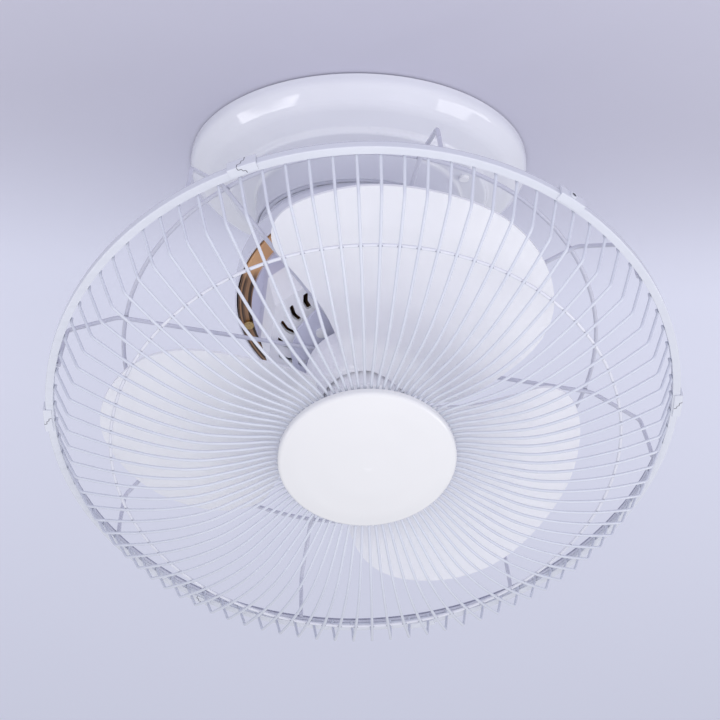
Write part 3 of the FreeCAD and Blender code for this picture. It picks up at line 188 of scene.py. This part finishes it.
painted = {
    "rimGloss": {"low": (0.65, 0.67, 0.74), "high": (0.68, 0.70, 0.77),
                 "rough": (0.16, 0.24), "grain": 600, "bump": 0.04, "coat": 0.3},
    "badgeGloss": {"low": (0.745, 0.745, 0.765), "high": (0.765, 0.765, 0.785),
                   "rough": (0.20, 0.26), "grain": 380, "bump": 0.02},
    "nutSatin": {"low": (0.84, 0.845, 0.89), "high": (0.86, 0.865, 0.91),
                 "rough": (0.34, 0.42), "grain": 520, "bump": 0.05},
    "powderWire": {"low": (0.575, 0.60, 0.69), "high": (0.615, 0.64, 0.72),
                   "rough": (0.26, 0.36), "grain": 1500, "bump": 0.08, "coat": 0.2},
    "ringWire": {"low": (0.64, 0.65, 0.73), "high": (0.68, 0.69, 0.76),
                 "rough": (0.26, 0.36), "grain": 1500, "bump": 0.08, "coat": 0.2},
    # painted shade: the rear wires a touch darker and bluer than the front ones, for the shade they
    # sit in
    "rearWire": {"low": (0.56, 0.57, 0.67), "high": (0.60, 0.61, 0.70),
                 "rough": (0.24, 0.34), "grain": 1500, "bump": 0.08, "coat": 0.2},
    # painted shade at the wire crossings, coloured onto the weld beads
    "weldFlash": {"low": (0.30, 0.31, 0.38), "high": (0.42, 0.43, 0.50),
                  "rough": (0.35, 0.5), "grain": 2200, "bump": 0.2},
    "castPaint": {"low": (0.84, 0.845, 0.88), "high": (0.87, 0.875, 0.91),
                  "rough": (0.38, 0.50), "grain": 900, "bump": 0.16},
    "platePaint": {"low": (0.60, 0.61, 0.74), "high": (0.64, 0.65, 0.78),
                   "rough": (0.30, 0.42), "grain": 800, "bump": 0.10},
    "bellPaint": {"low": (0.69, 0.70, 0.79), "high": (0.72, 0.73, 0.82),
                  "rough": (0.22, 0.32), "grain": 700, "bump": 0.06, "coat": 0.2},
    "blackPlastic": {"low": (0.015, 0.015, 0.017), "high": (0.03, 0.03, 0.032),
                     "rough": (0.45, 0.6), "grain": 800, "bump": 0.2},
    "seamShadow": {"low": (0.07, 0.07, 0.09), "high": (0.14, 0.14, 0.17),
                   "rough": (0.6, 0.7), "grain": 900, "bump": 0.1},
    "blackRubber": {"low": (0.012, 0.012, 0.012), "high": (0.02, 0.02, 0.02),
                    "rough": (0.6, 0.75), "grain": 900, "bump": 0.2},
    "nylonWasher": {"low": (0.70, 0.70, 0.66), "high": (0.75, 0.75, 0.71),
                    "rough": (0.4, 0.5), "grain": 600, "bump": 0.1},
}
metals = {
    "windingVarnish": {"low": (0.35, 0.13, 0.05), "high": (0.50, 0.20, 0.08),
                       "rough": (0.3, 0.45), "grain": 900},
    "plainSteel": {"low": (0.50, 0.50, 0.52), "high": (0.60, 0.60, 0.62),
                   "rough": (0.22, 0.36), "grain": 700},
    "brassPlate": {"low": (0.60, 0.42, 0.17), "high": (0.72, 0.52, 0.24),
                   "rough": (0.2, 0.32), "grain": 800},
}
# painted shade, by height: the canopy's neck a shade greyer, the shield's flange bluer and the band
# darker at its back edge, where shade falls; fade gives the heights, with the tilt turned back,
# where the shade colour starts and is full
shadeZones = {
    "canopyGloss": {"shadeColour": (0.58, 0.59, 0.68), "fade": (-0.0295, -0.0340), "tilt": 0.0,
                    "low": (0.72, 0.73, 0.80), "high": (0.74, 0.75, 0.82),
                    "rough": (0.05, 0.08), "grain": 420, "bump": 0.02, "specular": 0.4},
    # painted shade: the shield's flange painted lavender as the shade that falls on it
    "shieldPaint": {"shadeColour": (0.55, 0.55, 0.68), "fade": (-0.1240, -0.1225), "tilt": head["tilt"],
                    "low": (0.86, 0.865, 0.90), "high": (0.89, 0.895, 0.93),
                    "rough": (0.38, 0.50), "grain": 900, "bump": 0.16},
    # painted shade: the band's back edge painted darker, as the shade on the side that curves away
    "bandGloss": {"shadeColour": (0.40, 0.41, 0.52), "fade": (-0.2280, -0.2268), "tilt": head["tilt"],
                  "low": (0.64, 0.66, 0.73), "high": (0.67, 0.69, 0.76),
                  "rough": (0.16, 0.24), "grain": 600, "bump": 0.04, "coat": 0.3},
}


def openPaint(material):
    # the tree, the shader's colour input and the colour that reaches it now
    tree = material.node_tree
    colour = tree.nodes["Principled BSDF"].inputs["Base Color"]
    return tree, colour, colour.links[0].from_socket


def shadeZoneFinish(name, shadeColour, fade, tilt, **paint):
    material = paintedFinish(name, **paint)
    tree, colour, plain = openPaint(material)
    # painted shade: past the fade heights the shade colour replaces the paint's own
    height = placePart(tree, objectPlace(tree, tilt), "Z")
    share = mapSpan(tree, height, fade)
    tree.links.new(mixColour(tree, share, plain, (*shadeColour, 1)), colour)
    return material


lamination = {"tan": ((0.58, 0.32, 0.16), (0.66, 0.39, 0.20)),
              "streakedShade": ((0.05, 0.03, 0.02), (0.34, 0.19, 0.10)), "fade": (0.020, 0.036),
              "stainScale": 45, "stainDetail": 5, "streakScale": 420, "streakDetail": 2,
              "sheetScale": 320, "sheetWaver": 0.4, "rough": (0.35, 0.55),
              "bump": 0.35, "bumpDepth": 0.0003}


def laminationFinish(name):
    # stacked sheets across the fan axis, with painted light and shade: lit varnish on the upper
    # side, painted shade below that is also streaked with the sheets' edges
    material, tree, shader = newMaterial(name)
    place = objectPlace(tree, head["tilt"])
    sheets = addNode(tree, "ShaderNodeTexWave", {
        "Vector": place, "Scale": lamination["sheetScale"],
        "Distortion": lamination["sheetWaver"]}, bands_direction="Z")
    streak = addNode(tree, "ShaderNodeTexNoise", {
        "W": fanAxisReach(tree, place), "Scale": lamination["streakScale"],
        "Detail": lamination["streakDetail"]}, noise_dimensions="1D")
    stain = addNoise(tree, lamination["stainScale"], lamination["stainDetail"])
    # painted light and shade: the upper side lit, fading into shade below
    share = mapSpan(tree, placePart(tree, place, "Y"), lamination["fade"], shape="SMOOTHSTEP")
    tan = colourDrift(tree, stain, *lamination["tan"])
    streakedShade = colourDrift(tree, streak.outputs["Fac"], *lamination["streakedShade"])
    setInputs(tree, shader, {
        "Base Color": mixColour(tree, share, tan, streakedShade),
        "Roughness": roughnessDrift(tree, stain, lamination["rough"]),
        "Normal": surfaceBump(tree, sheets.outputs["Fac"], lamination["bump"],
                              lamination["bumpDepth"]),
    })
    return material


# each stop is a share of the reach and the painted shade tint there
blade = {"reach": 0.2,
         "stops": ((0.235, (1.0, 1.0, 1.0)), (0.310, (0.88, 0.88, 0.904)),
                   (0.380, (0.88, 0.88, 0.904)), (0.500, (0.95, 0.95, 0.96)),
                   (0.640, (1.0, 1.0, 1.0))),
         "paint": {"low": (0.82, 0.825, 0.875), "high": (0.85, 0.855, 0.895),
                   "rough": (0.34, 0.42), "grain": 520, "bump": 0.05}}


def bladeFinish(name):
    # satin moulding, white on the hub and towards the tips, with a soft grey ring of painted shade
    # between them, where the hub shades the blade roots
    material = paintedFinish(name, **blade["paint"])
    tree, colour, plain = openPaint(material)
    reach = fanAxisReach(tree, objectPlace(tree, head["tilt"]))
    shadeTint = colourRamp(tree, mapSpan(tree, reach, (0, blade["reach"])), blade["stops"], "EASE")
    tree.links.new(mixColour(tree, 1.0, plain, shadeTint, "MULTIPLY"), colour)
    return material


screw = {"angle": 31.5, "height": -0.130, "shadeSpan": (0.0013, 0.0017),
         "dark": (0.02, 0.02, 0.025, 1),
         "paint": {"low": (0.65, 0.67, 0.74), "high": (0.68, 0.70, 0.77),
                   "rough": (0.25, 0.35), "grain": 900, "bump": 0.06}}


def screwFinish(name):
    # painted head with a dark disc round the screw's own axis, painted shade in place of a socket
    # that the head has no shape for
    material = paintedFinish(name, **screw["paint"])
    tree, colour, plain = openPaint(material)
    middle, outer = (headPoint(radius, screw["angle"], screw["height"]) for radius in (0, 1))
    place = addNode(tree, "ShaderNodeTexCoord", {}).outputs["Object"]
    shifted = addNode(tree, "ShaderNodeVectorMath", {0: place, 1: middle}, operation="SUBTRACT")
    across = addNode(tree, "ShaderNodeVectorMath", {
        0: shifted.outputs["Vector"], 1: outer - middle}, operation="CROSS_PRODUCT")
    share = mapSpan(tree, vectorLength(tree, across.outputs["Vector"]), screw["shadeSpan"])
    tree.links.new(mixColour(tree, share, screw["dark"], plain), colour)
    return material


finishes = {}
for maker, table in ((paintedFinish, painted), (metalFinish, metals), (shadeZoneFinish, shadeZones)):
    for name, settings in table.items():
        finishes[name] = maker(name, **settings)
for maker, name in ((laminationFinish, "coreLamination"), (bladeFinish, "bladeSatin"),
                    (screwFinish, "lockScrew")):
    finishes[name] = maker(name)

nodeFinish = {
    "canopyGloss": ["canopy", "orbit_crank", "bearing_carrier"],
    "rimGloss": ["guard_clips"],
    "bandGloss": ["rim_band"],
    "badgeGloss": ["badge"],
    "bladeSatin": ["blade_set"],
    "nutSatin": ["lock_nut"],
    "powderWire": ["front_guard_wires", "front_rim_ring", "front_inner_ring"],
    "ringWire": ["front_mid_ring"],
    "rearWire": ["rear_guard_wires", "rear_guard_ring", "rear_rim_ring"],
    "castPaint": ["motor_rear_shield", "guard_plate_screws", "badge_clamp", "ceiling_plate",
                  "canopy_screws"],
    "shieldPaint": ["motor_front_shield"],
    "platePaint": ["guard_plate"],
    "bellPaint": ["motor_bell"],
    "blackPlastic": ["terminal_block", "run_capacitor"],
    "blackRubber": ["cable_grommet"],
    "nylonWasher": ["thrust_washer"],
    "windingVarnish": ["stator_winding_front", "stator_winding_rear"],
    "plainSteel": ["carrier_posts", "orbit_motor", "orbit_motor_screws", "orbit_shaft",
                   "head_stem", "stem_nut", "stem_screws", "stem_bearing_lower",
                   "stem_bearing_upper", "bell_spacers", "shaft_bearing_front",
                   "shaft_bearing_rear", "badge_screws", "motor_shaft", "drive_pin"],
    "lockScrew": ["rim_lock_screw"],
    "brassPlate": ["motor_through_bolts", "through_bolt_nuts"],
    "coreLamination": ["stator_core", "rotor_core"],
}
for finish, names in nodeFinish.items():
    for name in names:
        item = nodes[name]
        item.data.materials.clear()
        item.data.materials.append(finishes[finish])
print("finishes set on", sum(len(names) for names in nodeFinish.values()), "nodes")


# pieces that the solids leave out
def addPiece(name, bm, body, finish, smooth=True):
    bmesh.ops.recalc_face_normals(bm, faces=bm.faces)
    mesh = bpy.data.meshes.new(name)
    bm.to_mesh(mesh)
    bm.free()
    for face in mesh.polygons:
        face.use_smooth = smooth
    mesh.materials.append(finishes[finish])
    piece = bpy.data.objects.new(name, mesh)
    bpy.context.collection.objects.link(piece)
    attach(piece, body)


def bridgeRows(bm, low, high):
    for k in range(len(low)):
        after = (k + 1) % len(low)
        bm.faces.new((low[k], low[after], high[after], high[k]))


# weld beads where wires cross the middle ring and the rear ring, coloured dark as painted shade at
# the crossings
welds = {
    "midWelds": {"count": 90, "start": 1.4, "radius": 0.1688, "height": -0.17165,
                 "half": (0.0009, 0.0019, 0.0008)},
    "rearWelds": {"count": 8, "start": 8.0, "radius": 0.1674, "height": -0.06655,
                  "half": (0.0020, 0.0021, 0.0009)},
}


def makeWelds(name, weld):
    bm = bmesh.new()
    shift = Matrix.Translation((weld["radius"], 0, weld["height"]))
    size = Matrix.Diagonal((*weld["half"], 1))
    for i in range(weld["count"]):
        angle = weld["start"] + 360 * i / weld["count"]
        turn = Matrix.Rotation(math.radians(angle - 90), 4, "Z")
        bmesh.ops.create_icosphere(bm, subdivisions=2, radius=1.0,
                                   matrix=headMatrix @ turn @ shift @ size)
    addPiece(name, bm, "fan_head", "weldFlash")


for name, weld in welds.items():
    makeWelds(name, weld)

# stepped latch seams across the clips that show them, as painted shadow: dark hairlines on the
# front and outer faces where the seams' gaps lie in shade; each step is a share of the seam's run
# and a shift round the rim
seams = {"angles": (84.0, -150.0, -94.2, -25.5), "front": -0.1346, "outer": 0.21675,
         "radii": (0.21645, 0.2112), "heights": (-0.1342, -0.1256),
         "width": 0.0005, "rise": 0.00005,
         "steps": ((0.0, -0.0030), (0.32, -0.0026), (0.36, -0.0005), (0.62, 0.0001),
                   (0.66, 0.0018), (1.0, 0.0022))}


def between(ends, share):
    return ends[0] + (ends[1] - ends[0]) * share


def seamPoint(angle, share, shift, onFront):
    turn = angle + math.degrees(shift / seams["outer"])
    if onFront:
        return headPoint(between(seams["radii"], share), turn, seams["front"])
    return headPoint(seams["outer"], turn, between(seams["heights"], share))


def addRibbon(bm, points, out):
    # strip along the points, half sunk in a face that looks in the direction of out
    rows = []
    for k, point in enumerate(points):
        along = (points[min(k + 1, len(points) - 1)] - points[max(k - 1, 0)]).normalized()
        across = along.cross(out).normalized() * seams["width"] / 2
        lift = out * seams["rise"]
        rows.append([bm.verts.new(point + across * a + lift * b)
                     for a, b in ((-1, -1), (-1, 1), (1, 1), (1, -1))])
    for low, high in zip(rows, rows[1:]):
        bridgeRows(bm, low, high)
    bm.faces.new(rows[0])
    bm.faces.new(list(reversed(rows[-1])))


def makeSeams():
    bm = bmesh.new()
    ahead = headMatrix.to_3x3() @ Vector((0, 0, -1))
    for angle in seams["angles"]:
        outward = (headPoint(1, angle, 0) - headPoint(0, angle, 0)).normalized()
        for onFront, out in ((True, ahead), (False, outward)):
            points = [seamPoint(angle, share, shift, onFront) for share, shift in seams["steps"]]
            addRibbon(bm, points, out)
    addPiece("latchSeams", bm, "fan_head", "seamShadow", False)


makeSeams()

# apron on the crank that closes the neck's mouth round the bell
apron = {"outer": 0.0750, "low": -0.0547, "high": -0.0530, "clearance": 0.0003, "least": 0.0445,
         "narrowest": 0.0008, "steps": 360, "postRing": 0.0611, "postRadius": 0.0021,
         "postTop": -0.0400, "postSides": 24, "posts": (118.0, 180.0, -118.0)}


def bellReach():
    # widest radius of the bell, by angle about the orbit axis, between the apron's faces
    mesh = nodes["motor_bell"].data
    places = [vert.co for vert in mesh.vertices]
    reach = [apron["least"] - apron["clearance"]] * apron["steps"]
    heights = (apron["low"], (apron["low"] + apron["high"]) / 2, apron["high"])
    for edge in mesh.edges:
        a, b = (places[k] for k in edge.vertices)
        for height in heights:
            if (a.z - height) * (b.z - height) < 0:
                spot = a.lerp(b, (height - a.z) / (b.z - a.z))
                turn = math.atan2(spot.x, -spot.y) / (2 * math.pi) * apron["steps"]
                for step in (math.floor(turn), math.floor(turn) + 1):
                    k = step % apron["steps"]
                    reach[k] = max(reach[k], math.hypot(spot.x, spot.y))
    return reach


def makeApron():
    bm = bmesh.new()
    outer, low, high = apron["outer"], apron["low"], apron["high"]
    rows = []
    for k, reach in enumerate(bellReach()):
        angle = 360 * k / apron["steps"]
        inner = min(reach + apron["clearance"], outer - apron["narrowest"])
        corners = ((inner, low), (outer, low), (outer, high), (inner, high))
        rows.append([bm.verts.new(polarPoint(radius, angle, height)) for radius, height in corners])
    for k, row in enumerate(rows):
        bridgeRows(bm, row, rows[(k + 1) % len(rows)])
    for angle in apron["posts"]:
        spot = polarPoint(apron["postRing"], angle, (high + apron["postTop"]) / 2)
        bmesh.ops.create_cone(bm, cap_ends=True, segments=apron["postSides"],
                              radius1=apron["postRadius"], radius2=apron["postRadius"],
                              depth=apron["postTop"] - high, matrix=Matrix.Translation(spot))
    addPiece("crankApron", bm, "orbit_crank_body", "bellPaint", False)


makeApron()
print("welds, seams and apron made")

# ceiling behind the fan, with a hole over the plate
ceiling = {"reach": 6.0, "hole": 0.120, "gap": 0.0012, "sides": 96, "rough": 0.9,
           "near": (0.55, 0.545, 0.65, 1), "far": (0.78, 0.795, 0.925, 1), "fade": (-0.10, 0.22)}


def ceilingFinish():
    material, tree, shader = newMaterial("ceilingPaint")
    place = addNode(tree, "ShaderNodeTexCoord", {}).outputs["Object"]
    # painted shade: the ceiling darker towards -y, fading to its plain colour further along y
    share = mapSpan(tree, placePart(tree, place, "Y"), ceiling["fade"], shape="SMOOTHSTEP")
    setInputs(tree, shader, {
        "Base Color": mixColour(tree, share, ceiling["near"], ceiling["far"]),
        "Roughness": ceiling["rough"],
    })
    # open from above, so that the top of the fan can be looked at
    facing = addNode(tree, "ShaderNodeNewGeometry", {})
    clear = addNode(tree, "ShaderNodeBsdfTransparent", {})
    sided = addNode(tree, "ShaderNodeMixShader", {
        "Fac": facing.outputs["Backfacing"], 1: shader.outputs["BSDF"], 2: clear.outputs["BSDF"]})
    tree.links.new(sided.outputs["Shader"], tree.nodes["Material Output"].inputs["Surface"])
    return material


def makeCeiling():
    mesh = bpy.data.meshes.new("ceiling")
    bm = bmesh.new()
    for radius in (ceiling["hole"], ceiling["reach"]):
        bmesh.ops.create_circle(bm, segments=ceiling["sides"], radius=radius)
    bmesh.ops.bridge_loops(bm, edges=bm.edges)
    bmesh.ops.translate(bm, verts=bm.verts, vec=(0, 0, ceiling["gap"]))
    bm.normal_update()
    bmesh.ops.reverse_faces(bm, faces=[face for face in bm.faces if face.normal.z > 0])
    bm.to_mesh(mesh)
    bm.free()
    mesh.materials.append(ceilingFinish())
    plane = bpy.data.objects.new("ceiling", mesh)
    bpy.context.collection.objects.link(plane)


makeCeiling()

# studio light: a world that is almost white, two strips that mirror in the canopy, and a fill
studio = {"colour": (0.93, 0.94, 1.0, 1), "strength": 0.74, "lampColour": (1.0, 0.985, 0.99),
          "aim": (0, 0, -0.1)}
lamps = {
    "stripLeft": {"place": (-1.40, -0.345, -1.28), "along": (0.642, -1.076, -0.445),
                  "size": (1.33, 0.10), "power": 2.4, "mirrored": True},
    "stripRight": {"place": (1.576, -0.551, -0.974), "along": (0.666, 0.748, 0.764),
                   "size": (1.26, 0.50), "power": 6.5, "mirrored": True},
    "fillFront": {"place": (-0.10, -1.5, -0.85), "along": (1, 0, 0),
                  "size": (0.8, 0.6), "power": 10, "mirrored": False},
}


def placeMatrix(place, across, upward, back):
    turn = Matrix((across, upward, back)).transposed().to_4x4()
    return Matrix.Translation(place) @ turn


def makeWorld():
    world = bpy.data.worlds.new("studio")
    bpy.context.scene.world = world
    world.use_nodes = True
    setInputs(world.node_tree, world.node_tree.nodes["Background"],
              {"Color": studio["colour"], "Strength": studio["strength"]})


def makeLamp(name, lamp):
    data = bpy.data.lights.new(name, "AREA")
    data.shape = "RECTANGLE"
    data.size, data.size_y = lamp["size"]
    data.energy = lamp["power"]
    data.color = studio["lampColour"]
    item = bpy.data.objects.new(name, data)
    back = (Vector(lamp["place"]) - Vector(studio["aim"])).normalized()
    side = Vector(lamp["along"])
    side = (side - back * side.dot(back)).normalized()
    item.matrix_world = placeMatrix(lamp["place"], side, back.cross(side), back)
    item.visible_glossy = lamp["mirrored"]
    bpy.context.collection.objects.link(item)


makeWorld()
for name, lamp in lamps.items():
    makeLamp(name, lamp)

# camera below and in front, looking up
view = {"target": (0.00226, 0.0, -0.16213), "distance": 1.2584, "azimuth": -5.4,
        "elevation": -24.0, "roll": 0.47, "lens": 86.41, "sensor": 36, "farthest": 50}


def makeCamera():
    angles = (math.radians(view[key]) for key in ("azimuth", "elevation", "roll"))
    azimuth, elevation, roll = angles
    level = math.cos(elevation)
    ahead = Vector((-math.sin(azimuth) * level, math.cos(azimuth) * level, -math.sin(elevation)))
    right = ahead.cross(Vector((0, 0, 1))).normalized()
    up = right.cross(ahead)
    across = right * math.cos(roll) + up * math.sin(roll)
    upward = up * math.cos(roll) - right * math.sin(roll)
    data = bpy.data.cameras.new("photoView")
    data.sensor_width = view["sensor"]
    data.lens = view["lens"]
    data.clip_end = view["farthest"]
    camera = bpy.data.objects.new("photoView", data)
    place = Vector(view["target"]) - ahead * view["distance"]
    camera.matrix_world = placeMatrix(place, across, upward, -ahead)
    bpy.context.collection.objects.link(camera)
    bpy.context.scene.camera = camera


makeCamera()
bpy.context.scene.view_settings.view_transform = "Standard"
print("light and camera set")
